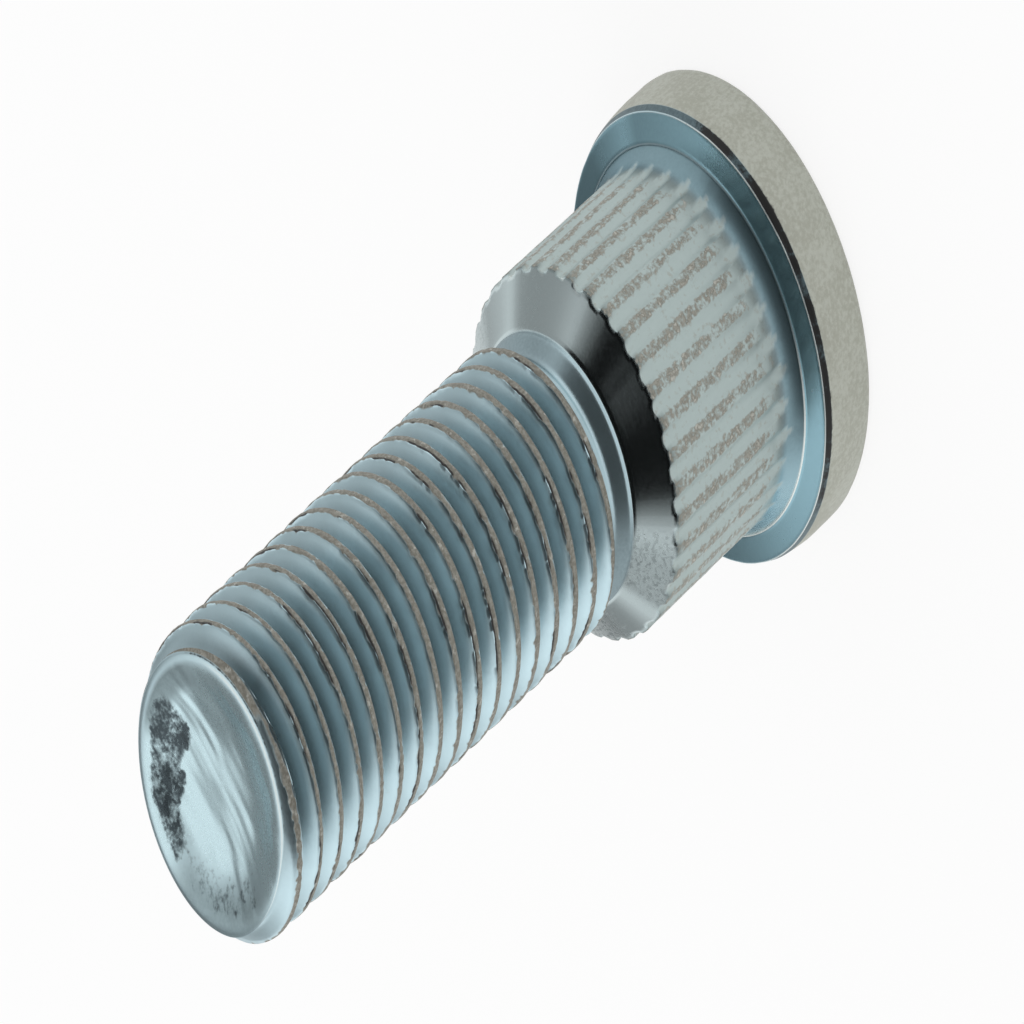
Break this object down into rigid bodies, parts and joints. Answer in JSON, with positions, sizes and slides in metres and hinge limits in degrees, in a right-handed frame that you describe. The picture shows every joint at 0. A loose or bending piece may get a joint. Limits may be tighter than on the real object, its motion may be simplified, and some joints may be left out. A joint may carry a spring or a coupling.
{
  "type": "wheel stud",
  "caption": "Press-in wheel stud: a round flat head, a straight-knurled shank that bites into the hub, a short cone and a long threaded shank with a dished tip.",
  "frame": {"origin": "centre of the head's outer face, on which the stud stands", "axes": "+Z along the stud's axis, from the head towards the tip of the thread; +X through the middle of one knurl groove"},
  "size_m": [0.0186, 0.0186, 0.042],
  "materials": {
    "zinc_plated_steel": "blue-white zinc plate, satin"
  },
  "bodies": {
    "root": {"wheel_stud": "zinc_plated_steel"}
  },
  "joints": []
}
